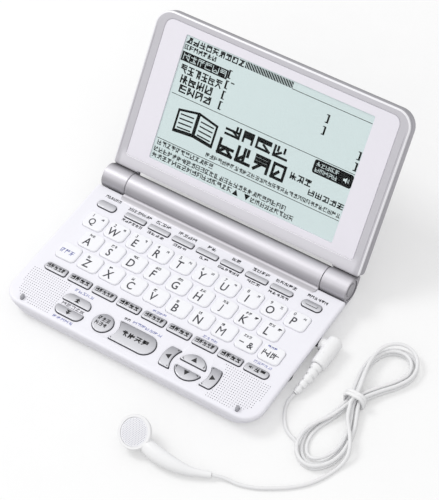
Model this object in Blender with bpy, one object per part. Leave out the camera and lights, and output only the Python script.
"""A pocket electronic dictionary, open, with its wired earphone plugged in.

Base coordinates: x to the right, y to the rear, z up from the table, with x and y zero at the
centre of the casing. Lid coordinates: y from the hinge axis to the free edge, z out of the
screen side. All lengths are in metres.
"""
import math

import bmesh
import bpy
import numpy as np
from mathutils import Matrix, Vector

# Fits that every piece shares
TOUCH_GAP = 0.0003
RUN_GAP = 0.00035
CUT_OVERRUN = 0.001

# Casing of the base
BASE_WIDTH = 0.1476
BASE_DEPTH = 0.096
FOOT_STAND = 0.0008
CASE_HEIGHT = 0.0100
WALL = 0.0015
BOTTOM_CASE_SHARE = 0.6
FRONT_CORNER_RADIUS = 0.0098
FRONT_CORNER_SPREAD = 0.0028
REAR_CORNER_RADIUS = 0.0040
DECK_REAR_RADIUS = 0.0010
DECK_EDGE_RADIUS = 0.0012
UNDERSIDE_EDGE_RADIUS = 0.0016
SIDE_UNDERCUT = 0.0036
FRONT_UNDERCUT = 0.0013
UNDERCUT_POWER = 1.6

# Hinge
HINGE_ROOM = 0.0004
HINGE_ABOVE_DECK = 0.00045
BARREL_RADIUS = 0.0065
BARREL_WALL = 0.0009
BARREL_END_WALL = 0.0012
BARREL_PARTITION = 0.0012
HINGE_BAY_LENGTH = 0.0090
APRON_LENGTH = 0.0045
APRON_RISE = 0.0006
APRON_FLAT_LENGTH = 0.0022
APRON_DEPTH = 0.0008
KNUCKLE_LENGTH = 0.0143
KNUCKLE_SET_IN = 0.0012
KNUCKLE_ARM_WIDTH = 0.0100
KNUCKLE_ARM_REACH = 0.0150
KNUCKLE_ARM_THICKNESS = 0.0018
KNUCKLE_RIM = 0.0011
KNUCKLE_RECESS_DEPTH = 0.0006
HINGE_PIN_RADIUS = 0.0016
HINGE_PIN_BITE = 0.0070

# Lid
LID_OPEN_DEG = 128.2
LID_SET_IN = 0.0006
LID_OVERHANG = 0.0021
LID_MIDDLE_START = 0.0077
LID_THICKNESS = 0.0080
LID_FACE_DROP = 0.00175
LID_FAR_RADIUS = 0.0090
LID_NEAR_RADIUS = 0.0022
LID_BACK_RADIUS = 0.0020
LID_FACE_RADIUS = 0.0006
LID_WALL = 0.0014
FRAME_RIM_DEPTH = 0.0023
PANEL_SIDE_RIM = 0.00595
PANEL_START = 0.0135
PANEL_FAR_RIM = 0.0036
PANEL_RADIUS = 0.0045
PANEL_THICKNESS = 0.0007
PANEL_INSET = 0.0001
WINDOW_SIDE_BORDER = 0.0133
WINDOW_NEAR_BORDER = 0.0038
WINDOW_FAR_BORDER = 0.0049
WINDOW_RADIUS = 0.0004
WINDOW_LEDGE = 0.0020
FRAME_FLOOR = 0.0007
DISPLAY_BORDER = 0.0025
DISPLAY_THICKNESS = 0.0022

# Keys: the letters fill a field of the deck, and the controls lie between the speakers
KEY_RISE = 0.0009
KEY_SINK = 0.0025
KEY_EDGE = 0.0003
LETTER_SIDE_MARGIN = 0.0073
LETTER_FRONT_MARGIN = 0.0321
LETTER_REAR_MARGIN = 0.0163
LETTER_SIDE_GAP = 0.0017
LETTER_ROW_GAP = 0.0015
LETTER_RADIUS_SHARE = 0.2323
MIDDLE_ROW_SHIFT = 0.0011
LETTER_ROW_COUNTS = (10, 9, 10)
CARRIER_WIDTH_SHARE = 0.606
CARRIER_THICKNESS = 0.0006
FUNCTION_COUNT = 9
FUNCTION_SIDE_MARGIN = 0.00738
FUNCTION_SIDE_GAP = 0.00216
FUNCTION_LENGTH = 0.0043
FUNCTION_RADIUS = 0.0016
FUNCTION_FROM_FRONT = 0.0261
MODE_COUNT = 7
MODE_SIDE_MARGIN = 0.02298
MODE_SIDE_GAP = 0.00252
MODE_LENGTH = 0.0029
MODE_RADIUS = 0.0014
MODE_FROM_REAR = 0.0101
PILL_WIDTH = 0.0106
PILL_LENGTH = 0.0043
PILL_RADIUS = 0.0020
PILL_FROM_SIDE = 0.0129
PILL_FROM_REAR = 0.0107
PAGE_WIDTH_SHARE = 0.16282
PAGE_LENGTH = 0.0046
PAGE_ROUND_RADIUS = 0.0036
PAGE_FLAT_RADIUS = 0.0007
PAGE_PLACE_SHARE = 0.39811
PAGE_UP_FROM_FRONT = 0.0156
PAGE_DOWN_FROM_FRONT = 0.0073
BACK_KEY_RADIUS = 0.0053
BACK_KEY_PLACE_SHARE = 0.20798
BACK_KEY_FROM_FRONT = 0.0112
ENTER_LENGTH = 0.0115
ENTER_END_SHARE = 0.1103
ENTER_HOLLOW_GAP = 0.0036
ARROW_PLACE_SHARE = 0.32563
ARROW_FROM_FRONT = 0.01155
ARROW_SPLIT = 0.0036
ARROW_ROUND_SHARE = 0.0777
ARROW_SIDE_INNER_SHARE = 0.10924
ARROW_SIDE_OUTER_SHARE = 0.1628
ARROW_SIDE_LENGTH_SHARE = 0.12185

# Fittings of the base
BOARD_THICKNESS = 0.0010
BOARD_SIDE_GAP = 0.0048
BOARD_REAR_GAP = 0.0020
BOARD_FRONT_FROM_FRONT = 0.0250
BOARD_TONGUE_GAP = 0.0066
BOARD_TONGUE_FROM_FRONT = 0.0035
POST_RADIUS = 0.0020
POST_FROM_SIDE = 0.0238
POST_FROM_FRONT = 0.0310
POST_FROM_REAR = 0.0166
KEY_TRAVEL_ROOM = 0.0013
SPEAKER_WIDTH = 0.0200
SPEAKER_LENGTH = 0.0160
SPEAKER_DEPTH = 0.0035
SPEAKER_RADIUS = 0.0060
SPEAKER_FROM_SIDE = 0.0162
SPEAKER_FROM_FRONT = 0.0130
BUMPER_WIDTH = 0.0015
BUMPER_LENGTH = 0.0026
BUMPER_SINK = 0.0009
BUMPER_FROM_SIDE = 0.0109
BUMPER_FROM_FRONT = 0.0036
FOOT_RADIUS = 0.0036
FOOT_FROM_SIDE = 0.0158
FOOT_FROM_FRONT = 0.0110
FOOT_FROM_REAR = 0.0060
SCREW_POCKET_RADIUS = 0.0022
SCREW_POCKET_DEPTH = 0.0009
SCREW_FROM_SIDE = 0.0098
SCREW_FROM_FRONT = 0.0220
SCREW_FROM_REAR = 0.0086
CELL_SIDE_ROOM = 0.00035
CELL_END_ROOM = 0.00165
CELL_NUB_RADIUS = 0.0019
CELL_NUB_LENGTH = 0.0008
DOOR_SET_IN = 0.0006
DOOR_LENGTH = 0.0170
JACK_FROM_FRONT = 0.0589
JACK_WIDTH = 0.0060
JACK_LENGTH = 0.0120
JACK_DEPTH = 0.0048
JACK_NOSE_RADIUS = 0.00235
JACK_NOSE_INSET = 0.0002
JACK_BORE_RADIUS = 0.00195
DIAL_RADIUS = 0.0060
DIAL_THICKNESS = 0.0010
DIAL_PROTRUSION = 0.0004
DIAL_ABOVE_PARTING = 0.0002
DIAL_FROM_FRONT = 0.0334
DIAL_AXLE_RADIUS = 0.0010
DIAL_POST_RADIUS = 0.0022
DIAL_TEETH = 18
DIAL_TOOTH_DEPTH = 0.00015

# Earphone
PIN_RADIUS = 0.00175
PIN_LENGTH = 0.0140
PIN_TIP_LENGTH = 0.0035
PIN_NECK_RADIUS = 0.0012
COLLAR_RADIUS = 0.0033
PLUG_RADIUS = 0.0040
PLUG_AXIS_OUT = 0.0060
PLUG_REAR_REACH = 0.0050
PLUG_FRONT_REACH = 0.0121
PLUG_END_RADIUS = 0.0012
RELIEF_BIG_RADIUS = 0.0030
RELIEF_SMALL_RADIUS = 0.0017
RELIEF_GROOVE_DEPTH = 0.0004
RELIEF_RIBS = 5
CORD_RADIUS = 0.0009
CORD_STEP = 0.0045
HANK_TRACK = 0.0023
HANK_LAYER = 0.0023
HANK_LIFT_REACH = 0.0120
TIE_THICKNESS = 0.0010
TIE_LENGTH = 0.0036
TIE_CORNER_RADIUS = 0.0030
TIE_FOOT_RADIUS = 0.0008
EARBUD_FACE_RADIUS = 0.0084
EARBUD_DEPTH = 0.0096
EARBUD_TILT_DEG = 32.0
GRILLE_RADIUS = 0.0069
GRILLE_RECESS = 0.0010
GRILLE_THICKNESS = 0.0004
GRILLE_CROWN = 0.0005
STEM_RADIUS = 0.0040
STEM_END_RADIUS = 0.0016

# Places that follow from the sizes above
FRONT = -BASE_DEPTH / 2
HALF_WIDTH = BASE_WIDTH / 2
UNDERSIDE = FOOT_STAND
DECK = FOOT_STAND + CASE_HEIGHT
PARTING = FOOT_STAND + CASE_HEIGHT * BOTTOM_CASE_SHARE
FLOOR = UNDERSIDE + WALL
REAR = FRONT + BASE_DEPTH
DECK_DEPTH = BASE_DEPTH - 2 * BARREL_RADIUS - HINGE_ROOM
DECK_REAR = FRONT + DECK_DEPTH
HINGE_Y = REAR - BARREL_RADIUS
HINGE_Z = DECK + HINGE_ABOVE_DECK
REAR_RIM = HINGE_Z - BARREL_RADIUS - RUN_GAP
KNUCKLE_SPAN = BASE_WIDTH - 2 * KNUCKLE_SET_IN
BARREL_LENGTH = KNUCKLE_SPAN - 2 * (KNUCKLE_LENGTH + TOUCH_GAP)
CELL_BAY_LENGTH = BARREL_LENGTH - 2 * (BARREL_END_WALL + HINGE_BAY_LENGTH + BARREL_PARTITION)
CELL_RADIUS = BARREL_RADIUS - BARREL_WALL - CELL_SIDE_ROOM
CELL_LENGTH = (CELL_BAY_LENGTH - TOUCH_GAP) / 2 - CELL_END_ROOM - CELL_NUB_LENGTH
DOOR_WIDTH = CELL_BAY_LENGTH - 2 * DOOR_SET_IN
HINGE_UNIT_RADIUS = BARREL_RADIUS - BARREL_WALL - TOUCH_GAP
KNUCKLE_REACH = math.sqrt(BARREL_RADIUS ** 2 - LID_FACE_DROP ** 2)
LID_START = KNUCKLE_REACH + TOUCH_GAP
LID_WIDTH = BASE_WIDTH - 2 * LID_SET_IN
LID_REACH = BASE_DEPTH - BARREL_RADIUS + LID_OVERHANG
LID_BACK = LID_FACE_DROP + LID_THICKNESS
LID_TILT = math.radians(180.0 - LID_OPEN_DEG)
LID_REARMOST = (HINGE_Y + (LID_REACH - LID_BACK_RADIUS) * math.cos(LID_TILT)
                + (LID_BACK - LID_BACK_RADIUS) * math.sin(LID_TILT) + LID_BACK_RADIUS)
ORIGIN_Y = (FRONT + LID_REARMOST) / 2
PANEL_WIDTH = LID_WIDTH - 2 * PANEL_SIDE_RIM
PANEL_END = LID_REACH - PANEL_FAR_RIM
WINDOW_WIDTH = PANEL_WIDTH - 2 * WINDOW_SIDE_BORDER
WINDOW_START = PANEL_START + WINDOW_NEAR_BORDER
WINDOW_END = PANEL_END - WINDOW_FAR_BORDER
KEY_BOTTOM = DECK - KEY_SINK
BOARD_TOP = KEY_BOTTOM - KEY_TRAVEL_ROOM
BOARD_BOTTOM = BOARD_TOP - BOARD_THICKNESS
BOARD_WIDTH = BASE_WIDTH - 2 * BOARD_SIDE_GAP
LETTER_PITCH = (BASE_WIDTH - 2 * LETTER_SIDE_MARGIN) / max(LETTER_ROW_COUNTS)
LETTER_WIDTH = LETTER_PITCH - LETTER_SIDE_GAP
LETTER_ROW_PITCH = (DECK_DEPTH - LETTER_FRONT_MARGIN - LETTER_REAR_MARGIN) / len(LETTER_ROW_COUNTS)
LETTER_LENGTH = LETTER_ROW_PITCH - LETTER_ROW_GAP
LETTER_RADIUS = LETTER_LENGTH * LETTER_RADIUS_SHARE
CARRIER_WIDTH = LETTER_LENGTH * CARRIER_WIDTH_SHARE
FUNCTION_PITCH = (BASE_WIDTH - 2 * FUNCTION_SIDE_MARGIN) / FUNCTION_COUNT
FUNCTION_WIDTH = FUNCTION_PITCH - FUNCTION_SIDE_GAP
MODE_PITCH = (BASE_WIDTH - 2 * MODE_SIDE_MARGIN) / MODE_COUNT
MODE_WIDTH = MODE_PITCH - MODE_SIDE_GAP
CONTROL_FIELD = BASE_WIDTH - 2 * SPEAKER_FROM_SIDE - SPEAKER_WIDTH
PAGE_WIDTH = CONTROL_FIELD * PAGE_WIDTH_SHARE
BACK_KEY_X = -CONTROL_FIELD * BACK_KEY_PLACE_SHARE
ENTER_END_X = CONTROL_FIELD * ENTER_END_SHARE
ARROW_ROUND_RADIUS = CONTROL_FIELD * ARROW_ROUND_SHARE
ARROW_SIDE_INNER = CONTROL_FIELD * ARROW_SIDE_INNER_SHARE
ARROW_SIDE_OUTER = CONTROL_FIELD * ARROW_SIDE_OUTER_SHARE
ARROW_SIDE_HALF_LENGTH = CONTROL_FIELD * ARROW_SIDE_LENGTH_SHARE / 2
JACK_HEIGHT = FLOOR + TOUCH_GAP + JACK_DEPTH / 2
DIAL_HEIGHT = PARTING + DIAL_ABOVE_PARTING
JACK_Y = FRONT + JACK_FROM_FRONT
DIAL_Y = FRONT + DIAL_FROM_FRONT

# Where the cord runs, from the plug to the earbud: x from the plug's axis, y from the jack
RELIEF_ROUTE = ((0.0000, -0.0125, 0.0050), (0.0000, -0.0189, 0.0049), (-0.0008, -0.0249, 0.0040),
                (-0.0017, -0.0295, 0.0028))
LEAD_ROUTE = ((-0.00176, -0.0298, 0.00272), (-0.00212, -0.0316, 0.00225), (-0.0027, -0.0337, 0.0015),
              (-0.0021, -0.0369, 0.0009), (-0.0009, -0.0399, 0.0009), (0.0007, -0.0427, 0.0009),
              (0.0032, -0.0459, 0.0009), (0.0060, -0.0486, 0.0009), (0.00791, -0.04931, 0.0009))
TAIL_ROUTE = ((0.02547, -0.0249, 0.00648), (0.02592, -0.0267, 0.00632), (0.0286, -0.0316, 0.0058),
              (0.0326, -0.0366, 0.0056), (0.0360, -0.0419, 0.0051), (0.0375, -0.0464, 0.0032),
              (0.0370, -0.0509, 0.0015), (0.0354, -0.0559, 0.0009), (0.0331, -0.0614, 0.0009),
              (0.0296, -0.0669, 0.0009), (0.0254, -0.0713, 0.0009), (0.0213, -0.0747, 0.0009),
              (0.0156, -0.0785, 0.0009), (0.0096, -0.0818, 0.0009), (0.0029, -0.0841, 0.0009),
              (-0.0036, -0.0849, 0.0013), (-0.0084, -0.0862, 0.0022), (-0.01032, -0.08708, 0.00237))
STEM_ROUTE = ((-0.0106, -0.0872, 0.0024), (-0.0151, -0.0892, 0.0027), (-0.0206, -0.0912, 0.0032),
              (-0.0266, -0.0923, 0.0038), (-0.0327, -0.0925, 0.0042), (-0.0396, -0.0919, 0.0046),
              (-0.0446, -0.0904, 0.0050), (-0.0486, -0.0884, 0.0052))
STEM_RADIUS_SHARES = (0.0, 0.10, 0.35, 0.68, 0.90, 1.0, 0.95, 0.75)
EARBUD_PLACE = (-0.0513, -0.0902)
EARBUD_PROFILE_SHARES = ((0.36, -1.0), (0.54, -0.9), (0.74, -0.67), (0.93, -0.34), (1.0, -0.1),
                         (0.965, 0.0))

# The hank: its middle, the round that its outermost turn takes, and how the cord enters it
HANK_MIDDLE = (0.0244, -0.0184)
HANK_ROUND = ((-0.0057, -0.0026), (-0.0087, -0.0115), (-0.0116, -0.0190), (-0.0126, -0.0260),
              (-0.0114, -0.0326), (-0.0083, -0.0380), (-0.0037, -0.0412), (0.0017, -0.0412),
              (0.0063, -0.0376), (0.0092, -0.0320), (0.0100, -0.0245), (0.0080, -0.0135),
              (0.0035, -0.0026), (0.0035, 0.0026), (0.0074, 0.0100), (0.0130, 0.0175),
              (0.0164, 0.0246), (0.0158, 0.0316), (0.0114, 0.0370), (0.0048, 0.0389),
              (-0.0024, 0.0366), (-0.0078, 0.0298), (-0.0092, 0.0185), (-0.0057, 0.0026))
HANK_ENTRY = ((-0.0162, -0.0310), (-0.0140, -0.0317), (-0.0114, -0.0332))
HANK_EXIT = (0.0010, -0.0062)
# Tracks inward from the outermost turn and layers up, by number of points along the round
HANK_FIRST_POINT = 5
HANK_WAIST_POINT = 13
HANK_LAST_POINT = 96
HANK_TRACK_SHARES = ((5, 0.0), (15, 0.0), (21, 1.0), (39, 1.0), (45, 2.0), (54, 2.0), (60, 1.0),
                     (63, 1.0), (69, 2.0), (72, 2.0), (77, 0.0), (88, 0.0), (90, 0.15), (95, 2.49),
                     (96, 2.52))
HANK_LAYER_SHARES = ((5, 0.0), (52, 0.0), (57, 1.0), (87, 1.0), (92, 2.0), (96, 2.0))


def clear_scene():
    """Empty the scene that the script runs in."""
    for item in list(bpy.data.objects):
        bpy.data.objects.remove(item, do_unlink=True)


def make_material(name, colour, roughness, metallic=0.0):
    """A Principled material of one colour."""
    material = bpy.data.materials.new(name)
    material.use_nodes = True
    shader = material.node_tree.nodes["Principled BSDF"]
    shader.inputs["Base Color"].default_value = (*colour, 1.0)
    shader.inputs["Roughness"].default_value = roughness
    shader.inputs["Metallic"].default_value = metallic
    return material


def make_empty(name, location, parent=None, tilt=0.0):
    """An empty that carries the pieces of one body, turned about X by tilt."""
    empty = bpy.data.objects.new(name, None)
    bpy.context.collection.objects.link(empty)
    empty.location = location
    empty.rotation_euler = (tilt, 0.0, 0.0)
    empty.parent = parent
    return empty


def add_object(name, bm, colour_of, parent, location=(0.0, 0.0, 0.0)):
    """Turn a bmesh into an object of its own material, placed under its parent."""
    bmesh.ops.recalc_face_normals(bm, faces=bm.faces)
    mesh = bpy.data.meshes.new(name)
    bm.to_mesh(mesh)
    bm.free()
    mesh.shade_smooth()
    mesh.set_sharp_from_angle(angle=math.radians(30.0))
    item = bpy.data.objects.new(name, mesh)
    item.data.materials.append(make_material(name, *colour_of))
    bpy.context.collection.objects.link(item)
    item.parent = parent
    item.location = location
    return item


def add_cutter(name, bm, parent, location=(0.0, 0.0, 0.0)):
    """A hidden object whose volume a boolean takes away or keeps."""
    cutter = add_object(name, bm, PALETTE["cutter"], parent, location)
    cutter.hide_render = True
    cutter.display_type = "WIRE"
    return cutter


def apply_boolean(item, tool, operation):
    """Add an exact boolean of the tool to the item."""
    modifier = item.modifiers.new(tool.name, "BOOLEAN")
    modifier.operation = operation
    modifier.solver = "EXACT"
    modifier.object = tool


def arc(centre, radius, start_deg, end_deg, steps):
    """Points of a circular arc, both ends included."""
    angles = [math.radians(start_deg + (end_deg - start_deg) * i / steps) for i in range(steps + 1)]
    return [(centre[0] + radius * math.cos(a), centre[1] + radius * math.sin(a)) for a in angles]


def rounded_outline(width, length, radii, steps=3, middle=(0.0, 0.0)):
    """A rectangle with rounded corners, listed front right, rear right, rear left, front left."""
    half_x = width / 2
    half_y = length / 2
    outline = []
    corners = ((1, -1, -90.0), (1, 1, 0.0), (-1, 1, 90.0), (-1, -1, 180.0))
    for (sign_x, sign_y, start), radius in zip(corners, radii):
        centre = (middle[0] + sign_x * (half_x - radius), middle[1] + sign_y * (half_y - radius))
        outline += arc(centre, radius, start, start + 90.0, steps)
    return outline


def grow_outline(outline, distance):
    """Move each side of an outline, listed counter-clockwise, outward by a distance."""
    count = len(outline)
    grown = []
    for i, point in enumerate(outline):
        before = Vector(point) - Vector(outline[i - 1])
        after = Vector(outline[(i + 1) % count]) - Vector(point)
        normal_a = Vector((before.y, -before.x)).normalized()
        normal_b = Vector((after.y, -after.x)).normalized()
        shift = (normal_a + normal_b) / (1.0 + normal_a.dot(normal_b))
        grown.append((point[0] + shift.x * distance, point[1] + shift.y * distance))
    return grown


def moved(outline, offset):
    """The outline moved by an offset."""
    return [(x + offset[0], y + offset[1]) for x, y in outline]


def at_height(outline, z):
    """The outline as points of one level."""
    return [(x, y, z) for x, y in outline]


def add_loft(bm, rings):
    """Skin a stack of rings with equal counts and close both ends."""
    levels = [[bm.verts.new(point) for point in ring] for ring in rings]
    count = len(levels[0])
    for low, high in zip(levels, levels[1:]):
        for i in range(count):
            j = (i + 1) % count
            bm.faces.new((low[i], low[j], high[j], high[i]))
    bm.faces.new(list(reversed(levels[0])))
    bm.faces.new(levels[-1])


def add_prism(bm, outline, low, high):
    """An upright prism between two heights."""
    add_loft(bm, (at_height(outline, low), at_height(outline, high)))


def box_outline(x_low, x_high, y_low, y_high):
    """A plain rectangle."""
    return [(x_low, y_low), (x_high, y_low), (x_high, y_high), (x_low, y_high)]


def add_box(bm, x_span, y_span, z_span):
    """An upright box given by its spans."""
    add_prism(bm, box_outline(*x_span, *y_span), *z_span)


def add_turned(bm, profile, sides, place):
    """Turn a profile of (radius, height) about Z and place it with a matrix."""
    rings = []
    for radius, height in profile:
        ring = arc((0.0, 0.0), radius, 0.0, 360.0, sides)[:-1]
        rings.append([place @ Vector((x, y, height)) for x, y in ring])
    add_loft(bm, rings)


def add_profile_bar(bm, profile, x_low, x_high):
    """A bar along X whose section is a profile of (y, z)."""
    add_loft(bm, ([(x_low, y, z) for y, z in profile], [(x_high, y, z) for y, z in profile]))


def along_x(x, y, z, sign=1.0):
    """Placement that lays a turned piece along X."""
    return Matrix.Translation((x, y, z)) @ Matrix.Rotation(sign * math.pi / 2, 4, "Y")


def along_y(x, y, z, sign=1.0):
    """Placement that lays a turned piece along Y."""
    return Matrix.Translation((x, y, z)) @ Matrix.Rotation(-sign * math.pi / 2, 4, "X")


def smooth_path(points, samples):
    """Points of a smooth curve through the given points, evenly spaced along it."""
    points = np.array(points, dtype=float)
    ends = np.vstack((2 * points[0] - points[1], points, 2 * points[-1] - points[-2]))
    fine = []
    steps = 40
    for i in range(1, len(ends) - 2):
        p0, p1, p2, p3 = ends[i - 1:i + 3]
        for t in np.arange(steps) / steps:
            fine.append(0.5 * (2 * p1 + (p2 - p0) * t + (2 * p0 - 5 * p1 + 4 * p2 - p3) * t ** 2
                               + (3 * p1 - p0 - 3 * p2 + p3) * t ** 3))
    fine.append(points[-1])
    fine = np.array(fine)
    travelled = np.concatenate(([0.0], np.cumsum(np.linalg.norm(np.diff(fine, axis=0), axis=1))))
    wanted = np.linspace(0.0, travelled[-1], samples)
    return np.stack([np.interp(wanted, travelled, fine[:, k]) for k in range(3)], axis=1)


def path_length(points):
    """Length of a chain of points."""
    return float(np.linalg.norm(np.diff(np.array(points), axis=0), axis=1).sum())


def add_swept(bm, points, radii, sides):
    """A round bar along points, with its own radius at each."""
    points = [Vector(point) for point in points]
    rings = []
    side = None
    for i, point in enumerate(points):
        tangent = (points[min(i + 1, len(points) - 1)] - points[max(i - 1, 0)]).normalized()
        if side is None:
            side = tangent.cross(Vector((0.0, 0.0, 1.0))).normalized()
        side = (side - tangent * side.dot(tangent)).normalized()
        up = side.cross(tangent)
        ring = arc((0.0, 0.0), radii[i], 0.0, 360.0, sides)[:-1]
        rings.append([point + side * x + up * y for x, y in ring])
    add_loft(bm, rings)


def add_cord(name, points, resolution, parent):
    """A cord's stretch as a round tube along points."""
    curve = bpy.data.curves.new(name, "CURVE")
    curve.dimensions = "3D"
    curve.bevel_depth = CORD_RADIUS
    curve.bevel_resolution = resolution
    curve.use_fill_caps = True
    spline = curve.splines.new("POLY")
    spline.points.add(len(points) - 1)
    for target, point in zip(spline.points, points):
        target.co = (*point, 1.0)
    item = bpy.data.objects.new(name, curve)
    item.data.materials.append(make_material(name, *PALETTE["cord"]))
    bpy.context.collection.objects.link(item)
    item.parent = parent
    return item


PALETTE = {
    "casing": ((0.86, 0.86, 0.90), 0.42),
    "silver": ((0.62, 0.62, 0.65), 0.34, 0.6),
    "lid": ((0.60, 0.58, 0.63), 0.42, 0.3),
    "panel": ((0.83, 0.82, 0.88), 0.45),
    "glass": ((0.70, 0.78, 0.76), 0.15),
    "display": ((0.45, 0.52, 0.50), 0.5),
    "board": ((0.05, 0.22, 0.10), 0.5),
    "rubber": ((0.35, 0.35, 0.37), 0.8),
    "dark": ((0.03, 0.03, 0.035), 0.5),
    "steel": ((0.60, 0.60, 0.60), 0.3, 1.0),
    "cell": ((0.15, 0.18, 0.35), 0.4, 0.3),
    "cord": ((0.86, 0.86, 0.86), 0.5),
    "white": ((0.88, 0.88, 0.90), 0.4),
    "cutter": ((0.8, 0.2, 0.2), 0.5),
}


def undercut_share(z):
    """How far the casing has drawn in at a height, from 0 at the deck edge to 1 underneath."""
    edge = DECK - DECK_EDGE_RADIUS
    return max(0.0, (edge - z) / (edge - UNDERSIDE)) ** UNDERCUT_POWER


def casing_ring(z, rear, rear_radius, inset=0.0):
    """Outline of the casing at a height, drawn in on all sides by an inset."""
    side = HALF_WIDTH - SIDE_UNDERCUT * undercut_share(z) - inset
    front = FRONT + FRONT_UNDERCUT * undercut_share(z) + inset
    back = rear - inset
    middle = (0.0, (front + back) / 2)
    front_radius = FRONT_CORNER_RADIUS + FRONT_CORNER_SPREAD * undercut_share(z) - inset
    back_radius = max(rear_radius - inset, DECK_REAR_RADIUS / 2)
    radii = (front_radius, back_radius, back_radius, front_radius)
    return at_height(rounded_outline(2 * side, back - front, radii, 4, middle), z)


def edge_levels(radius, steps):
    """Pairs of (inset, drop from the flat) along a quarter round, from the side to the flat."""
    angles = [math.pi / 2 * i / steps for i in range(steps + 1)]
    return [(radius * (1 - math.cos(a)), radius * (1 - math.sin(a))) for a in angles]


def top_case_shell():
    """The top case without its openings: a tray that opens downward."""
    bm = bmesh.new()
    low = PARTING + TOUCH_GAP / 2
    rings = [casing_ring(z, DECK_REAR, DECK_REAR_RADIUS) for z in (low, (low + DECK) / 2)]
    for inset, drop in edge_levels(DECK_EDGE_RADIUS, 3):
        rings.append([(x, y, DECK - drop) for x, y, _ in
                      casing_ring(DECK - DECK_EDGE_RADIUS, DECK_REAR, DECK_REAR_RADIUS, inset)])
    add_loft(bm, rings)
    return bm


def top_case_hollow():
    """The room inside the top case."""
    bm = bmesh.new()
    heights = (PARTING - CUT_OVERRUN, PARTING + WALL, DECK - WALL)
    add_loft(bm, [casing_ring(z, DECK_REAR, DECK_REAR_RADIUS, WALL) for z in heights])
    return bm


def bottom_case_shell():
    """The bottom case without its openings: a tray that opens upward."""
    bm = bmesh.new()
    rings = []
    for inset, drop in reversed(edge_levels(UNDERSIDE_EDGE_RADIUS, 3)):
        z = UNDERSIDE + drop
        rings.append([(x, y, z) for x, y, _ in casing_ring(z, REAR, REAR_CORNER_RADIUS, inset)])
    high = PARTING - TOUCH_GAP / 2
    for z in ((UNDERSIDE + UNDERSIDE_EDGE_RADIUS + high) / 2, high):
        rings.append(casing_ring(z, REAR, REAR_CORNER_RADIUS))
    add_loft(bm, rings)
    return bm


def bottom_case_hollow():
    """The room inside the bottom case, and all that is cut away over its rear part."""
    bm = bmesh.new()
    heights = (FLOOR, (FLOOR + PARTING) / 2, PARTING + CUT_OVERRUN)
    add_loft(bm, [casing_ring(z, REAR, REAR_CORNER_RADIUS, WALL) for z in heights])
    return bm


def rear_clearing():
    """The space of the hinge above the rear rim of the bottom case."""
    bm = bmesh.new()
    half = HALF_WIDTH + CUT_OVERRUN
    add_box(bm, (-half, half), (DECK_REAR, REAR + CUT_OVERRUN), (REAR_RIM, DECK))
    return bm


def letter_rows():
    """Centres of the letter keys, row by row from the rear."""
    rows = []
    for row, count in enumerate(LETTER_ROW_COUNTS):
        y = FRONT + LETTER_FRONT_MARGIN + (len(LETTER_ROW_COUNTS) - row - 0.5) * LETTER_ROW_PITCH
        shift = MIDDLE_ROW_SHIFT if count % 2 else 0.0
        rows.append([((i - (count - 1) / 2) * LETTER_PITCH - shift, y) for i in range(count)])
    return rows


def letter_outline():
    """Outline of one letter key about its centre."""
    return rounded_outline(LETTER_WIDTH, LETTER_LENGTH, (LETTER_RADIUS,) * 4, 2)


def half_moon_outline(turned):
    """An arrow key cut from a disc by a straight side, about the centre of the disc."""
    chord = ARROW_SPLIT / 2
    start = math.degrees(math.asin(chord / ARROW_ROUND_RADIUS))
    outline = arc((0.0, 0.0), ARROW_ROUND_RADIUS, start, 180.0 - start, 10)
    if turned:
        outline = [(-x, -y) for x, y in outline]
    return outline


def side_arrow_outline(sign):
    """A curved arrow key beside the two half moons, about their centre."""
    outer = math.degrees(math.asin(ARROW_SIDE_HALF_LENGTH / ARROW_SIDE_OUTER))
    inner = math.degrees(math.asin(ARROW_SIDE_HALF_LENGTH / ARROW_SIDE_INNER))
    outline = arc((0.0, 0.0), ARROW_SIDE_OUTER, -outer, outer, 5)
    outline += arc((0.0, 0.0), ARROW_SIDE_INNER, inner, -inner, 5)
    if sign < 0:
        outline = [(-x, -y) for x, y in outline]
    return outline


def enter_outline():
    """The big enter key, hollowed on its left round the back key, about the back key's centre."""
    half = ENTER_LENGTH / 2
    hollow = BACK_KEY_RADIUS + ENTER_HOLLOW_GAP
    reach = ENTER_END_X - BACK_KEY_X - half
    swing = math.degrees(math.asin(half / hollow))
    return arc((reach, 0.0), half, -90.0, 90.0, 8) + arc((0.0, 0.0), hollow, swing, -swing, 5)


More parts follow.
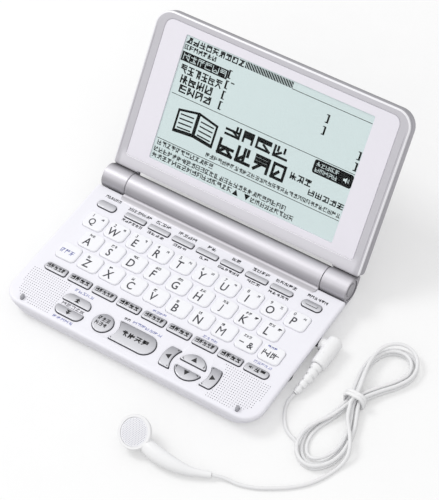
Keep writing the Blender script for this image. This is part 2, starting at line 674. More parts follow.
def silver_keys():
    """Name, place and outline of each silver key."""
    keys = []
    pill = rounded_outline(PILL_WIDTH, PILL_LENGTH, (PILL_RADIUS,) * 4)
    pill_x = HALF_WIDTH - PILL_FROM_SIDE
    keys.append(("key_power", (-pill_x, DECK_REAR - PILL_FROM_REAR), pill))
    keys.append(("key_backlight", (pill_x, DECK_REAR - PILL_FROM_REAR), pill))
    mode = rounded_outline(MODE_WIDTH, MODE_LENGTH, (MODE_RADIUS,) * 4)
    for i in range(MODE_COUNT):
        x = (i - (MODE_COUNT - 1) / 2) * MODE_PITCH
        keys.append((f"key_mode_{i + 1}", (x, DECK_REAR - MODE_FROM_REAR), mode))
    function = rounded_outline(FUNCTION_WIDTH, FUNCTION_LENGTH, (FUNCTION_RADIUS,) * 4)
    for i in range(FUNCTION_COUNT):
        x = (i - (FUNCTION_COUNT - 1) / 2) * FUNCTION_PITCH
        keys.append((f"key_function_{i + 1}", (x, FRONT + FUNCTION_FROM_FRONT), function))
    big = PAGE_ROUND_RADIUS
    small = PAGE_FLAT_RADIUS
    page_up = rounded_outline(PAGE_WIDTH, PAGE_LENGTH, (small, big, big, small))
    page_down = rounded_outline(PAGE_WIDTH, PAGE_LENGTH, (big, small, small, big))
    page_x = -CONTROL_FIELD * PAGE_PLACE_SHARE
    keys.append(("key_page_up", (page_x, FRONT + PAGE_UP_FROM_FRONT), page_up))
    keys.append(("key_page_down", (page_x, FRONT + PAGE_DOWN_FROM_FRONT), page_down))
    back_place = (BACK_KEY_X, FRONT + BACK_KEY_FROM_FRONT)
    keys.append(("key_back", back_place, arc((0.0, 0.0), BACK_KEY_RADIUS, 0.0, 360.0, 20)[:-1]))
    keys.append(("key_enter", back_place, enter_outline()))
    arrow_place = (CONTROL_FIELD * ARROW_PLACE_SHARE, FRONT + ARROW_FROM_FRONT)
    keys.append(("key_arrow_up", arrow_place, half_moon_outline(False)))
    keys.append(("key_arrow_down", arrow_place, half_moon_outline(True)))
    keys.append(("key_arrow_left", arrow_place, side_arrow_outline(-1)))
    keys.append(("key_arrow_right", arrow_place, side_arrow_outline(1)))
    return keys


def add_key(bm, outline, place, bottom=KEY_BOTTOM):
    """One key cap with a chamfered rim, between its underside and its top."""
    cap = moved(outline, place)
    top = DECK + KEY_RISE
    rings = (at_height(cap, bottom), at_height(cap, top - KEY_EDGE),
             at_height(grow_outline(cap, -KEY_EDGE), top))
    add_loft(bm, rings)


def key_openings():
    """All the holes that the keys and the lid bumpers sit in."""
    bm = bmesh.new()
    low = DECK - WALL - CUT_OVERRUN
    high = DECK + CUT_OVERRUN
    for _, place, outline in silver_keys():
        add_prism(bm, moved(grow_outline(outline, RUN_GAP), place), low, high)
    for row in letter_rows():
        for place in row:
            add_prism(bm, moved(grow_outline(letter_outline(), RUN_GAP), place), low, high)
    for place in bumper_places():
        outline = grow_outline(bumper_outline(), TOUCH_GAP)
        add_prism(bm, moved(outline, place), DECK - BUMPER_SINK - TOUCH_GAP, high)
    return bm


def bumper_places():
    """Centres of the two lid bumpers."""
    x = HALF_WIDTH - BUMPER_FROM_SIDE
    y = FRONT + BUMPER_FROM_FRONT
    return ((-x, y), (x, y))


def bumper_outline():
    """Outline of a lid bumper about its centre."""
    return rounded_outline(BUMPER_WIDTH, BUMPER_LENGTH, (BUMPER_WIDTH / 2 - TOUCH_GAP / 2,) * 4, 2)


def apron_notch():
    """The step in the deck that the hinge cover's apron fills."""
    bm = bmesh.new()
    half = BARREL_LENGTH / 2 + TOUCH_GAP
    front = HINGE_Y - BARREL_RADIUS - APRON_LENGTH - TOUCH_GAP
    low = DECK - APRON_DEPTH - TOUCH_GAP
    add_box(bm, (-half, half), (front, DECK_REAR + CUT_OVERRUN), (low, DECK + CUT_OVERRUN))
    return bm


def jack_hole():
    """The round hole in the right wall for the earphone plug."""
    bm = bmesh.new()
    radius = JACK_NOSE_RADIUS + TOUCH_GAP
    start = jack_front() - CUT_OVERRUN
    profile = ((radius, 0.0), (radius, HALF_WIDTH - start + CUT_OVERRUN))
    add_turned(bm, profile, 16, along_x(start, JACK_Y, JACK_HEIGHT))
    return bm


def dial_centre_x():
    """The dial's axis, set so that its rim stands out of the wall a little."""
    wall = HALF_WIDTH - SIDE_UNDERCUT * undercut_share(DIAL_HEIGHT)
    return wall + DIAL_PROTRUSION - DIAL_RADIUS


def dial_slot():
    """The slot in the right wall for the volume dial."""
    bm = bmesh.new()
    reach = DIAL_RADIUS + 2 * TOUCH_GAP
    half = DIAL_THICKNESS / 2 + TOUCH_GAP
    place = Matrix.Translation((dial_centre_x(), DIAL_Y, DIAL_HEIGHT))
    add_turned(bm, ((reach, -half), (reach, half)), 24, place)
    return bm


def build_top_case(base):
    """The top case with its deck."""
    case = add_object("base_top_case", top_case_shell(), PALETTE["casing"], base)
    apply_boolean(case, add_cutter("cut_top_hollow", top_case_hollow(), base), "DIFFERENCE")
    apply_boolean(case, add_cutter("cut_keys", key_openings(), base), "DIFFERENCE")
    apply_boolean(case, add_cutter("cut_apron", apron_notch(), base), "DIFFERENCE")
    apply_boolean(case, add_cutter("cut_jack_top", jack_hole(), base), "DIFFERENCE")
    apply_boolean(case, add_cutter("cut_dial_top", dial_slot(), base), "DIFFERENCE")


def post_places():
    """Centres of the posts that carry the main board."""
    side = HALF_WIDTH - POST_FROM_SIDE
    rows = (FRONT + POST_FROM_FRONT, DECK_REAR - POST_FROM_REAR)
    return [(x, y) for y in rows for x in (-side, 0.0, side)]


def case_posts():
    """The board posts and the dial's stepped post, rooted in the floor of the bottom case."""
    bm = bmesh.new()
    low = FLOOR - WALL / 2
    for x, y in post_places():
        place = Matrix.Translation((x, y, low))
        add_turned(bm, ((POST_RADIUS, 0.0), (POST_RADIUS, BOARD_BOTTOM - TOUCH_GAP - low)), 10, place)
    shoulder = DIAL_HEIGHT - DIAL_THICKNESS / 2 - TOUCH_GAP - low
    tip = DIAL_HEIGHT + DIAL_THICKNESS / 2 - low
    profile = ((DIAL_POST_RADIUS, 0.0), (DIAL_POST_RADIUS, shoulder), (DIAL_AXLE_RADIUS, shoulder),
               (DIAL_AXLE_RADIUS, tip))
    add_turned(bm, profile, 12, Matrix.Translation((dial_centre_x(), DIAL_Y, low)))
    return bm


def cross_wall():
    """The wall of the bottom case in front of the hinge, bridging over the battery door."""
    bm = bmesh.new()
    low = FLOOR - WALL / 2
    high = PARTING - TOUCH_GAP
    bridge = FLOOR + TOUCH_GAP
    door = DOOR_WIDTH / 2 + TOUCH_GAP
    half = HALF_WIDTH - SIDE_UNDERCUT * undercut_share(low) - WALL / 2
    outline = [(-half, low), (-door, low), (-door, bridge), (door, bridge), (door, low), (half, low),
               (half, high), (-half, high)]
    add_loft(bm, [[(x, y, z) for x, z in outline] for y in (DECK_REAR - WALL, DECK_REAR - TOUCH_GAP)])
    return bm


def foot_places():
    """Centres of the four rubber feet."""
    x = HALF_WIDTH - FOOT_FROM_SIDE
    return [(side * x, y) for y in (FRONT + FOOT_FROM_FRONT, REAR - FOOT_FROM_REAR) for side in (-1, 1)]


def foot_nubs():
    """The four round feet, moulded on the bottom case."""
    bm = bmesh.new()
    high = UNDERSIDE + WALL / 2
    for x, y in foot_places():
        profile = ((FOOT_RADIUS - KEY_EDGE, 0.0), (FOOT_RADIUS, KEY_EDGE), (FOOT_RADIUS, high))
        add_turned(bm, profile, 16, Matrix.Translation((x, y, 0.0)))
    return bm


def screw_pockets():
    """The pockets of the four case screws."""
    bm = bmesh.new()
    low = UNDERSIDE - CUT_OVERRUN
    side = HALF_WIDTH - SCREW_FROM_SIDE
    for y in (FRONT + SCREW_FROM_FRONT, DECK_REAR - SCREW_FROM_REAR):
        for x in (-side, side):
            profile = ((SCREW_POCKET_RADIUS, 0.0),
                       (SCREW_POCKET_RADIUS, UNDERSIDE + SCREW_POCKET_DEPTH - low))
            add_turned(bm, profile, 10, Matrix.Translation((x, y, low)))
    return bm


def door_block(gap):
    """The part of the bottom case's rear that the battery door takes up."""
    bm = bmesh.new()
    half = DOOR_WIDTH / 2 - gap
    front = REAR - DOOR_LENGTH + gap
    add_box(bm, (-half, half), (front, REAR + CUT_OVERRUN), (UNDERSIDE - CUT_OVERRUN, DECK))
    return bm


def build_bottom_case(base):
    """The bottom case, and the battery door cut from the same shell."""
    case = add_object("base_bottom_case", bottom_case_shell(), PALETTE["casing"], base)
    door = add_object("battery_door", bottom_case_shell(), PALETTE["casing"], base)
    hollow = add_cutter("cut_bottom_hollow", bottom_case_hollow(), base)
    clearing = add_cutter("cut_rear", rear_clearing(), base)
    for item in (case, door):
        apply_boolean(item, hollow, "DIFFERENCE")
        apply_boolean(item, clearing, "DIFFERENCE")
    apply_boolean(door, add_cutter("keep_door", door_block(TOUCH_GAP), base), "INTERSECT")
    apply_boolean(case, add_cutter("cut_door", door_block(0.0), base), "DIFFERENCE")
    apply_boolean(case, add_cutter("cut_dial_bottom", dial_slot(), base), "DIFFERENCE")
    apply_boolean(case, add_cutter("join_posts", case_posts(), base), "UNION")
    apply_boolean(case, add_cutter("join_cross_wall", cross_wall(), base), "UNION")
    apply_boolean(case, add_cutter("join_feet", foot_nubs(), base), "UNION")
    apply_boolean(case, add_cutter("cut_pockets", screw_pockets(), base), "DIFFERENCE")
    apply_boolean(case, add_cutter("cut_jack_bottom", jack_hole(), base), "DIFFERENCE")


def board_outline():
    """The T-shaped outline of the main board."""
    half = BOARD_WIDTH / 2
    rear = DECK_REAR - WALL - BOARD_REAR_GAP
    shoulder = FRONT + BOARD_FRONT_FROM_FRONT
    tongue = CONTROL_FIELD / 2 - BOARD_TONGUE_GAP
    front = FRONT + BOARD_TONGUE_FROM_FRONT
    return [(-tongue, front), (tongue, front), (tongue, shoulder), (half, shoulder),
            (half, rear), (-half, rear), (-half, shoulder), (-tongue, shoulder)]


def board_clearances():
    """Room in the board for the jack and the volume dial."""
    bm = bmesh.new()
    low = FLOOR
    high = DECK
    jack_half = JACK_WIDTH / 2 + TOUCH_GAP
    start = jack_rear() - TOUCH_GAP
    add_box(bm, (start, HALF_WIDTH), (JACK_Y - jack_half, JACK_Y + jack_half), (low, high))
    reach = DIAL_RADIUS + TOUCH_GAP
    place = Matrix.Translation((dial_centre_x(), DIAL_Y, low))
    add_turned(bm, ((reach, 0.0), (reach, high - low)), 16, place)
    return bm


def jack_rear():
    """Where the jack's body begins, seen from the middle."""
    return jack_front() - JACK_LENGTH


def jack_front():
    """Where the jack's body ends, just inside the right wall."""
    wall = HALF_WIDTH - SIDE_UNDERCUT * undercut_share(FLOOR + TOUCH_GAP)
    return wall - WALL - TOUCH_GAP


def jack_mouth():
    """Where the jack's round nose ends, a little inside the widest line of the side."""
    return HALF_WIDTH - JACK_NOSE_INSET


def build_board(base):
    """The main board."""
    bm = bmesh.new()
    add_prism(bm, board_outline(), BOARD_BOTTOM, BOARD_TOP)
    board = add_object("main_board", bm, PALETTE["board"], base)
    apply_boolean(board, add_cutter("cut_board", board_clearances(), base), "DIFFERENCE")


def build_small_fittings(base):
    """The speakers under the deck and the bumpers that the closed lid rests on."""
    top = DECK - WALL - TOUCH_GAP
    speaker = rounded_outline(SPEAKER_WIDTH, SPEAKER_LENGTH, (SPEAKER_RADIUS,) * 4)
    from_middle = HALF_WIDTH - SPEAKER_FROM_SIDE
    for side, x in (("left", -from_middle), ("right", from_middle)):
        bm = bmesh.new()
        add_prism(bm, moved(speaker, (x, FRONT + SPEAKER_FROM_FRONT)), top - SPEAKER_DEPTH, top)
        add_object(f"speaker_{side}", bm, PALETTE["dark"], base)
    top = DECK + HINGE_ABOVE_DECK + LID_FACE_DROP - TOUCH_GAP
    for side, place in zip(("left", "right"), bumper_places()):
        bm = bmesh.new()
        outline = moved(bumper_outline(), place)
        add_loft(bm, (at_height(outline, DECK - BUMPER_SINK), at_height(outline, top - KEY_EDGE),
                      at_height(grow_outline(outline, -KEY_EDGE), top)))
        add_object(f"lid_bumper_{side}", bm, PALETTE["rubber"], base)


def build_jack_and_dial(base):
    """The earphone jack and the volume dial in the right side."""
    bm = bmesh.new()
    half = JACK_WIDTH / 2
    bottom = JACK_HEIGHT - JACK_DEPTH / 2
    span = (jack_rear(), jack_front())
    add_box(bm, span, (JACK_Y - half, JACK_Y + half), (bottom, bottom + JACK_DEPTH))
    jack = add_object("earphone_jack", bm, PALETTE["dark"], base)
    bm = bmesh.new()
    root = jack_front() - WALL
    add_turned(bm, ((JACK_NOSE_RADIUS, 0.0), (JACK_NOSE_RADIUS, jack_mouth() - root)), 16,
               along_x(root, JACK_Y, JACK_HEIGHT))
    apply_boolean(jack, add_cutter("join_nose", bm, base), "UNION")
    bm = bmesh.new()
    length = PIN_LENGTH + 2 * TOUCH_GAP
    start = jack_mouth() + TOUCH_GAP - length
    add_turned(bm, ((JACK_BORE_RADIUS, 0.0), (JACK_BORE_RADIUS, length)), 16,
               along_x(start, JACK_Y, JACK_HEIGHT))
    apply_boolean(jack, add_cutter("cut_bore", bm, base), "DIFFERENCE")

    bm = bmesh.new()
    outline = []
    for i in range(2 * DIAL_TEETH):
        radius = DIAL_RADIUS - (DIAL_TOOTH_DEPTH if i % 2 else 0.0)
        outline += arc((0.0, 0.0), radius, 180.0 * i / DIAL_TEETH, 180.0 * i / DIAL_TEETH, 1)[:1]
    add_prism(bm, outline, -DIAL_THICKNESS / 2, DIAL_THICKNESS / 2)
    dial = add_object("volume_dial", bm, PALETTE["dark"], base, (dial_centre_x(), DIAL_Y, DIAL_HEIGHT))
    bm = bmesh.new()
    bore = DIAL_AXLE_RADIUS + TOUCH_GAP
    add_turned(bm, ((bore, 0.0), (bore, 2 * DIAL_THICKNESS)), 12,
               Matrix.Translation((0.0, 0.0, -DIAL_THICKNESS)))
    cutter = add_cutter("cut_dial_bore", bm, base, (dial_centre_x(), DIAL_Y, DIAL_HEIGHT))
    apply_boolean(dial, cutter, "DIFFERENCE")


def build_hinge_cover(base):
    """The silver cover between the knuckles, open underneath, with the apron on the deck."""
    leg_bottom = HINGE_Z - BARREL_RADIUS
    deck_front = HINGE_Y - BARREL_RADIUS - APRON_LENGTH
    apron_top = DECK + APRON_RISE
    start = math.degrees(math.asin((apron_top - HINGE_Z) / BARREL_RADIUS))
    profile = arc((HINGE_Y, HINGE_Z), BARREL_RADIUS, 0.0, 180.0 - start, 12)
    profile += [(HINGE_Y - BARREL_RADIUS - APRON_FLAT_LENGTH, apron_top), (deck_front, DECK),
                (deck_front, DECK - APRON_DEPTH), (HINGE_Y - BARREL_RADIUS, DECK - APRON_DEPTH),
                (HINGE_Y - BARREL_RADIUS, leg_bottom), (HINGE_Y + BARREL_RADIUS, leg_bottom)]
    half = BARREL_LENGTH / 2
    bm = bmesh.new()
    add_profile_bar(bm, profile, -half, half)
    cover = add_object("hinge_barrel", bm, PALETTE["silver"], base)

    bm = bmesh.new()
    inner = BARREL_RADIUS - BARREL_WALL
    low = leg_bottom - CUT_OVERRUN
    room = arc((HINGE_Y, HINGE_Z), inner, 0.0, 180.0, 10) + [(HINGE_Y - inner, low), (HINGE_Y + inner, low)]
    middle = CELL_BAY_LENGTH / 2
    end_low = middle + BARREL_PARTITION
    end_high = half - BARREL_END_WALL
    add_profile_bar(bm, room, -middle, middle)
    add_profile_bar(bm, room, end_low, end_high)
    add_profile_bar(bm, room, -end_high, -end_low)
    apply_boolean(cover, add_cutter("cut_cover_rooms", bm, base), "DIFFERENCE")
    bm = bmesh.new()
    bore = HINGE_PIN_RADIUS + TOUCH_GAP
    for sign in (-1, 1):
        profile = ((bore, 0.0), (bore, BARREL_END_WALL + 2 * CUT_OVERRUN))
        add_turned(bm, profile, 12, along_x(sign * (end_high - CUT_OVERRUN), HINGE_Y, HINGE_Z, sign))
    apply_boolean(cover, add_cutter("cut_cover_bores", bm, base), "DIFFERENCE")

    unit_low = end_low + TOUCH_GAP
    unit_high = end_high - TOUCH_GAP
    for side, sign in (("left", -1), ("right", 1)):
        bm = bmesh.new()
        profile = ((HINGE_UNIT_RADIUS, unit_low), (HINGE_UNIT_RADIUS, unit_high),
                   (HINGE_PIN_RADIUS, unit_high), (HINGE_PIN_RADIUS, knuckle_inner() + HINGE_PIN_BITE))
        add_turned(bm, profile, 16, along_x(0.0, HINGE_Y, HINGE_Z, sign))
        add_object(f"hinge_pin_{side}", bm, PALETTE["steel"], base)


def build_cells(base):
    """Two cells in line inside the hinge cover, resting on the battery door."""
    profile = ((CELL_RADIUS, 0.0), (CELL_RADIUS, CELL_LENGTH), (CELL_NUB_RADIUS, CELL_LENGTH),
               (CELL_NUB_RADIUS, CELL_LENGTH + CELL_NUB_LENGTH))
    whole = CELL_LENGTH + CELL_NUB_LENGTH
    starts = {"left": -TOUCH_GAP / 2 - whole, "right": TOUCH_GAP / 2}
    for side, start in starts.items():
        bm = bmesh.new()
        add_turned(bm, profile, 16, along_x(start, HINGE_Y, FLOOR + TOUCH_GAP + CELL_RADIUS))
        add_object(f"battery_cell_{side}", bm, PALETTE["cell"], base)


def knuckle_inner():
    """Where a knuckle begins, seen from the middle."""
    return BARREL_LENGTH / 2 + TOUCH_GAP


def arm_top():
    """The face of a knuckle's arm that looks to the screen side, just behind the front frame."""
    return -LID_FACE_DROP - FRAME_RIM_DEPTH - RUN_GAP


def build_knuckles(lid):
    """The two knuckles, each with the arm that reaches into the lid."""
    inner = knuckle_inner()
    outer = KNUCKLE_SPAN / 2
    face_angle = math.degrees(math.asin(LID_FACE_DROP / BARREL_RADIUS))
    section = [(0.0, -BARREL_RADIUS), (KNUCKLE_REACH, -BARREL_RADIUS)]
    section += arc((0.0, 0.0), BARREL_RADIUS, -face_angle, 270.0, 20)[:-1]
    bore = HINGE_PIN_RADIUS + TOUCH_GAP
    depth = HINGE_PIN_BITE + TOUCH_GAP + CUT_OVERRUN
    for side, sign in (("left", -1), ("right", 1)):
        bm = bmesh.new()
        add_profile_bar(bm, section, *sorted((sign * inner, sign * outer)))
        knuckle = add_object(f"hinge_knuckle_{side}", bm, PALETTE["silver"], lid)
        bm = bmesh.new()
        middle = sign * (inner + outer) / 2
        add_box(bm, (middle - KNUCKLE_ARM_WIDTH / 2, middle + KNUCKLE_ARM_WIDTH / 2),
                (KNUCKLE_REACH / 2, KNUCKLE_ARM_REACH), (arm_top() - KNUCKLE_ARM_THICKNESS, arm_top()))
        apply_boolean(knuckle, add_cutter(f"join_arm_{side}", bm, lid), "UNION")
        bm = bmesh.new()
        add_turned(bm, ((bore, 0.0), (bore, depth)), 12,
                   along_x(sign * (inner - CUT_OVERRUN), 0.0, 0.0, sign))
        recess = BARREL_RADIUS - KNUCKLE_RIM
        add_turned(bm, ((recess, 0.0), (recess, KNUCKLE_RECESS_DEPTH + CUT_OVERRUN)), 20,
                   along_x(sign * (outer - KNUCKLE_RECESS_DEPTH), 0.0, 0.0, sign))
        apply_boolean(knuckle, add_cutter(f"cut_knuckle_{side}", bm, lid), "DIFFERENCE")


def lid_ring(z, inset):
    """Outline of the lid at a depth, drawn in on all sides by an inset."""
    length = LID_REACH - LID_START
    middle = (0.0, (LID_REACH + LID_START) / 2)
    far = LID_FAR_RADIUS - inset
    near = max(LID_NEAR_RADIUS - inset, LID_FACE_RADIUS / 2)
    outline = rounded_outline(LID_WIDTH - 2 * inset, length - 2 * inset, (near, far, far, near), 4, middle)
    return at_height(outline, z)


def lid_notch():
    """The strip that the lid leaves free over the hinge cover."""
    bm = bmesh.new()
    half = (BARREL_LENGTH + TOUCH_GAP) / 2
    add_box(bm, (-half, half), (0.0, LID_MIDDLE_START), (-2 * LID_BACK, LID_BACK))
    return bm


def build_lid_shells(lid):
    """The lid's back cover and front frame."""
    face = -LID_FACE_DROP
    parting = face - FRAME_RIM_DEPTH
    notch = add_cutter("cut_lid_notch", lid_notch(), lid)

    bm = bmesh.new()
    rings = []
    for inset, drop in reversed(edge_levels(LID_BACK_RADIUS, 3)):
        rings.append(lid_ring(-LID_BACK + drop, inset))
    rings.append(lid_ring(parting - TOUCH_GAP / 2, 0.0))
    add_loft(bm, rings)
    back = add_object("lid_back_cover", bm, PALETTE["lid"], lid)
    bm = bmesh.new()
    inner_back = -LID_BACK + LID_WALL
    inner_front = parting + CUT_OVERRUN
    add_loft(bm, (lid_ring(inner_back, 2 * LID_WALL), lid_ring(inner_back + LID_WALL, LID_WALL),
                  lid_ring(inner_front, LID_WALL)))
    apply_boolean(back, add_cutter("cut_lid_hollow", bm, lid), "DIFFERENCE")
    bm = bmesh.new()
    half = (BARREL_LENGTH + TOUCH_GAP) / 2 + LID_WALL
    add_box(bm, (-half, half), (LID_MIDDLE_START - LID_WALL / 2, LID_MIDDLE_START + LID_WALL),
            (inner_back - LID_WALL / 2, parting - TOUCH_GAP))
    apply_boolean(back, add_cutter("join_sill", bm, lid), "UNION")
    apply_boolean(back, notch, "DIFFERENCE")
    bm = bmesh.new()
    low = arm_top() - KNUCKLE_ARM_THICKNESS - TOUCH_GAP
    high = arm_top() + TOUCH_GAP
    for sign in (-1, 1):
        middle = sign * (knuckle_inner() + KNUCKLE_SPAN / 2) / 2
        half = KNUCKLE_ARM_WIDTH / 2 + TOUCH_GAP
        add_box(bm, (middle - half, middle + half), (0.0, LID_START + 2 * LID_WALL), (low, high))
    apply_boolean(back, add_cutter("cut_arm_slots", bm, lid), "DIFFERENCE")
    bm = bmesh.new()
    rings = [lid_ring(parting + TOUCH_GAP / 2, 0.0)]
    rings += [lid_ring(face - drop, inset) for inset, drop in edge_levels(LID_FACE_RADIUS, 2)]
    add_loft(bm, rings)
    frame = add_object("lid_front_frame", bm, PALETTE["lid"], lid)
    bm = bmesh.new()
    recess_floor = panel_back() - TOUCH_GAP
    floor_back = recess_floor - FRAME_FLOOR
    panel_middle = (0.0, (PANEL_START + PANEL_END) / 2)
    window_middle = (0.0, (WINDOW_START + WINDOW_END) / 2)
    window_length = WINDOW_END - WINDOW_START
    add_prism(bm, rounded_outline(PANEL_WIDTH + 2 * TOUCH_GAP, PANEL_END - PANEL_START + 2 * TOUCH_GAP,
                                  (PANEL_RADIUS + TOUCH_GAP,) * 4, 4, panel_middle),
              recess_floor, face + CUT_OVERRUN)
    apply_boolean(frame, add_cutter("cut_panel_recess", bm, lid), "DIFFERENCE")
    bm = bmesh.new()
    ledge = 2 * WINDOW_LEDGE
    add_prism(bm, rounded_outline(WINDOW_WIDTH - ledge, window_length - ledge, (WINDOW_RADIUS,) * 4, 2,
                                  window_middle), parting - CUT_OVERRUN, face + CUT_OVERRUN)
    apply_boolean(frame, add_cutter("cut_window", bm, lid), "DIFFERENCE")
    bm = bmesh.new()
    border = 2 * (DISPLAY_BORDER + TOUCH_GAP)
    add_prism(bm, rounded_outline(WINDOW_WIDTH + border, window_length + border, (WINDOW_RADIUS,) * 4, 2,
                                  window_middle), parting - CUT_OVERRUN, floor_back)
    apply_boolean(frame, add_cutter("cut_display_room", bm, lid), "DIFFERENCE")
    apply_boolean(frame, notch, "DIFFERENCE")


def panel_back():
    """Depth of the back of the screen panel."""
    return -LID_FACE_DROP - PANEL_INSET - PANEL_THICKNESS


def build_screen(lid):
    """The white screen panel, the window in it and the display behind."""
    front = -LID_FACE_DROP - PANEL_INSET
    panel_middle = (0.0, (PANEL_START + PANEL_END) / 2)
    window_middle = (0.0, (WINDOW_START + WINDOW_END) / 2)
    window_length = WINDOW_END - WINDOW_START
    bm = bmesh.new()
    add_prism(bm, rounded_outline(PANEL_WIDTH, PANEL_END - PANEL_START, (PANEL_RADIUS,) * 4, 4,
                                  panel_middle), panel_back(), front)
    panel = add_object("screen_panel", bm, PALETTE["panel"], lid)
    bm = bmesh.new()
    add_prism(bm, rounded_outline(WINDOW_WIDTH + 2 * TOUCH_GAP, window_length + 2 * TOUCH_GAP,
                                  (WINDOW_RADIUS + TOUCH_GAP,) * 4, 2, window_middle),
              panel_back() - CUT_OVERRUN, front + CUT_OVERRUN)
    apply_boolean(panel, add_cutter("cut_panel_window", bm, lid), "DIFFERENCE")
    bm = bmesh.new()
    add_prism(bm, rounded_outline(WINDOW_WIDTH, window_length, (WINDOW_RADIUS,) * 4, 2, window_middle),
              panel_back(), front)
    add_object("display_window", bm, PALETTE["glass"], lid)
    bm = bmesh.new()
    border = 2 * DISPLAY_BORDER
    top = panel_back() - TOUCH_GAP - FRAME_FLOOR - TOUCH_GAP
    add_prism(bm, rounded_outline(WINDOW_WIDTH + border, window_length + border, (WINDOW_RADIUS,) * 4, 2,
                                  window_middle), top - DISPLAY_THICKNESS, top)
    add_object("display_module", bm, PALETTE["display"], lid)


def build_keys(base):
    """Every silver key as its own piece, and the letter keys row by row."""
    for name, place, outline in silver_keys():
        bm = bmesh.new()
        add_key(bm, outline, (0.0, 0.0))
        add_object(name, bm, PALETTE["silver"], base, (*place, 0.0))
    for name, row in zip(("letter_row_top", "letter_row_middle", "letter_row_bottom"), letter_rows()):
        build_letter_row(name, row, base)


def build_letter_row(name, row, base):
    """A row of letter keys on the carrier strip that joins them under the deck."""
    y = row[0][1]
    bm = bmesh.new()
    for x, _ in row:
        add_key(bm, letter_outline(), (x, 0.0), KEY_BOTTOM + CARRIER_THICKNESS / 2)
    keys = add_object(name, bm, PALETTE["white"], base, (0.0, y, 0.0))
    bm = bmesh.new()
    inset = LETTER_WIDTH / 4
    add_box(bm, (row[0][0] - inset, row[-1][0] + inset), (-CARRIER_WIDTH / 2, CARRIER_WIDTH / 2),
            (KEY_BOTTOM, KEY_BOTTOM + CARRIER_THICKNESS))
    apply_boolean(keys, add_cutter(f"join_{name}", bm, base, (0.0, y, 0.0)), "UNION")


def build_plug(earphone):
    """The right-angle plug and its pin, about the mouth of the jack."""
    bm = bmesh.new()
    rear = PLUG_REAR_REACH
    front = PLUG_FRONT_REACH
    small = PLUG_RADIUS - PLUG_END_RADIUS
    profile = ((small, -front), (PLUG_RADIUS, PLUG_END_RADIUS - front),
               (PLUG_RADIUS, rear - PLUG_END_RADIUS), (small, rear))
    add_turned(bm, profile, 20, along_y(PLUG_AXIS_OUT, 0.0, 0.0))
    plug = add_object("earphone_plug", bm, PALETTE["white"], earphone)
    bm = bmesh.new()
    add_turned(bm, ((COLLAR_RADIUS, 0.0), (COLLAR_RADIUS, PLUG_AXIS_OUT)), 16,
               along_x(TOUCH_GAP, 0.0, 0.0))
    apply_boolean(plug, add_cutter("join_collar", bm, earphone), "UNION")

    bm = bmesh.new()
    tip = PIN_LENGTH - PIN_TIP_LENGTH
    ring = PIN_TIP_LENGTH / 4
    profile = ((PIN_RADIUS, 0.0), (PIN_RADIUS, tip), (PIN_NECK_RADIUS, tip + ring),
               (PIN_RADIUS, tip + 2 * ring), (PIN_NECK_RADIUS / 2, PIN_LENGTH - TOUCH_GAP))
    add_turned(bm, profile, 14, along_x(0.0, 0.0, 0.0, -1.0))
    add_object("plug_pin", bm, PALETTE["steel"], earphone)


def build_relief(cord):
    """The ribbed strain relief behind the plug."""
    points = smooth_path(RELIEF_ROUTE, 4 * RELIEF_RIBS + 1)
    radii = []
    for i in range(len(points)):
        share = i / (len(points) - 1)
        radius = RELIEF_BIG_RADIUS + (RELIEF_SMALL_RADIUS - RELIEF_BIG_RADIUS) * share
        radii.append(radius - (RELIEF_GROOVE_DEPTH if i % 4 == 3 else 0.0))
    bm = bmesh.new()
    add_swept(bm, points, radii, 12)
    add_object("plug_strain_relief", bm, PALETTE["white"], cord)


def smooth_step(low, high, value):
    """A share that eases from 0 at low to 1 at high."""
    t = min(max((value - low) / (high - low), 0.0), 1.0)
    return t * t * (3 - 2 * t)


def eased(table, place):
    """Read a table of (place, value) with eased steps between its entries."""
    result = table[0][1]
    for (low, before), (high, after) in zip(table, table[1:]):
        if place >= low:
            result = before + (after - before) * smooth_step(low, high, place)
    return result


def tie_lift(y):
    """How far the cord lies above the table near the tie, which passes under it."""
    lift = TIE_THICKNESS + TOUCH_GAP
    return lift * (1 - smooth_step(TIE_LENGTH, HANK_LIFT_REACH, abs(y)))


def hank_points():
    """One cord: in on the lower layer, up where it turns back, and out on the upper one."""
    middle = np.array(HANK_MIDDLE)
    around = np.array(HANK_ROUND)
    count = len(around)
    points = [(*(middle + place), CORD_RADIUS) for place in HANK_ENTRY]
    for number in range(HANK_FIRST_POINT, HANK_LAST_POINT + 1):
        i = number % count
        before = around[i] - around[i - 1]
        after = around[(i + 1) % count] - around[i]
        normal_a = np.array((-before[1], before[0])) / np.linalg.norm(before)
        normal_b = np.array((-after[1], after[0])) / np.linalg.norm(after)
        mitre = (normal_a + normal_b) / (1 + normal_a @ normal_b)
        x, y = around[i] + mitre * HANK_TRACK * eased(HANK_TRACK_SHARES, number)
        z = CORD_RADIUS + tie_lift(y) + HANK_LAYER * eased(HANK_LAYER_SHARES, number)
        points.append((middle[0] + x, middle[1] + y, z))
    x, y = HANK_EXIT
    points.append((middle[0] + x, middle[1] + y, CORD_RADIUS + tie_lift(y) + 2 * HANK_LAYER))
    return np.array(points)


def least_gap(points):
    """Smallest clear distance between parts of a cord that lie apart along it."""
    parts = 6
    pieces = [points[:-1] + (points[1:] - points[:-1]) * k / parts for k in range(parts)]
    fine = np.stack(pieces, axis=1).reshape(-1, 3)
    skip = 2 * parts
    gaps = [np.linalg.norm(fine[i + skip:] - fine[i], axis=1).min() for i in range(len(fine) - skip)]
    return min(gaps) - 2 * CORD_RADIUS


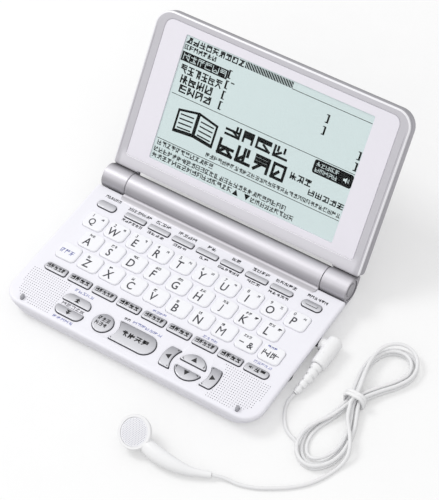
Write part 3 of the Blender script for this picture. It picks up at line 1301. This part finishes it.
def build_cord(cord):
    """The lead, the hank with its loops and tie, and the tail to the earbud."""
    lead = smooth_path(LEAD_ROUTE, round(path_length(LEAD_ROUTE) / CORD_STEP))
    tail = smooth_path(TAIL_ROUTE, round(path_length(TAIL_ROUTE) / CORD_STEP))
    hank = hank_points()
    add_cord("cord_lead", lead, 2, cord)
    add_cord("cord_hank", hank, 1, cord)
    add_cord("cord_tail", tail, 2, cord)
    whole = np.vstack((lead, hank, tail))
    print(f"cord: lead {path_length(lead):.4f} m, hank {path_length(hank):.4f} m in "
          f"{len(hank)} points, tail {path_length(tail):.4f} m; "
          f"least gap in the hank {least_gap(hank):.5f} m, over all {least_gap(whole):.5f} m")

    around = np.array(HANK_ROUND)
    left = around[-1][0] + HANK_TRACK - CORD_RADIUS - TOUCH_GAP
    right = around[HANK_WAIST_POINT][0] + CORD_RADIUS + TOUCH_GAP
    high = TIE_THICKNESS + 2 * (TOUCH_GAP + CORD_RADIUS + HANK_LAYER)
    middle = ((left + right) / 2, (TIE_THICKNESS + high) / 2)
    radii = (TIE_FOOT_RADIUS, TIE_CORNER_RADIUS, TIE_CORNER_RADIUS, TIE_FOOT_RADIUS)
    inner = rounded_outline(right - left, high - TIE_THICKNESS, radii, 4, middle)
    outer = grow_outline(inner, TIE_THICKNESS)
    place = (*HANK_MIDDLE, 0.0)
    half = TIE_LENGTH / 2
    bm = bmesh.new()
    add_loft(bm, [[(x, y, z) for x, z in outer] for y in (half, -half)])
    tie = add_object("cord_tie", bm, PALETTE["white"], cord, place)
    bm = bmesh.new()
    add_loft(bm, [[(x, y, z) for x, z in inner] for y in (TIE_LENGTH, -TIE_LENGTH)])
    apply_boolean(tie, add_cutter("cut_tie", bm, cord, place), "DIFFERENCE")


def build_earbud(cord):
    """The earbud that lies face up at the cord's end, with its stem."""
    tilt = math.radians(EARBUD_TILT_DEG)
    profile = [(r * EARBUD_FACE_RADIUS, h * EARBUD_DEPTH) for r, h in EARBUD_PROFILE_SHARES]
    height = max(r * math.sin(tilt) - h * math.cos(tilt) for r, h in profile)
    face = Matrix.Translation((*EARBUD_PLACE, height)) @ Matrix.Rotation(tilt, 4, "X")
    bm = bmesh.new()
    add_turned(bm, profile, 24, face)
    housing = add_object("earbud_housing", bm, PALETTE["white"], cord)
    bm = bmesh.new()
    radii = [STEM_END_RADIUS + (STEM_RADIUS - STEM_END_RADIUS) * share for share in STEM_RADIUS_SHARES]
    add_swept(bm, STEM_ROUTE, radii, 14)
    apply_boolean(housing, add_cutter("join_stem", bm, cord), "UNION")
    bm = bmesh.new()
    wide = GRILLE_RADIUS + TOUCH_GAP
    add_turned(bm, ((wide, -GRILLE_RECESS), (wide, CUT_OVERRUN)), 24, face)
    apply_boolean(housing, add_cutter("cut_earbud_face", bm, cord), "DIFFERENCE")
    bm = bmesh.new()
    low = TOUCH_GAP - GRILLE_RECESS
    profile = ((GRILLE_RADIUS, low), (GRILLE_RADIUS, low + GRILLE_THICKNESS),
               (GRILLE_RADIUS / 2, low + GRILLE_THICKNESS + GRILLE_CROWN))
    add_turned(bm, profile, 24, face)
    add_object("earbud_grille", bm, PALETTE["silver"], cord)


def main():
    """Build every piece."""
    clear_scene()
    base = make_empty("base_frame", (0.0, -ORIGIN_Y, 0.0))
    lid = make_empty("lid_frame", (0.0, HINGE_Y, HINGE_Z), base, LID_TILT)
    earphone = make_empty("earphone_frame", (jack_mouth(), JACK_Y, JACK_HEIGHT), base)
    cord = make_empty("cord_frame", (jack_mouth() + PLUG_AXIS_OUT, JACK_Y, 0.0), base)
    build_top_case(base)
    build_bottom_case(base)
    build_board(base)
    build_small_fittings(base)
    build_jack_and_dial(base)
    build_hinge_cover(base)
    build_cells(base)
    build_knuckles(lid)
    build_lid_shells(lid)
    build_screen(lid)
    build_keys(base)
    build_plug(earphone)
    build_relief(cord)
    build_cord(cord)
    build_earbud(cord)


main()
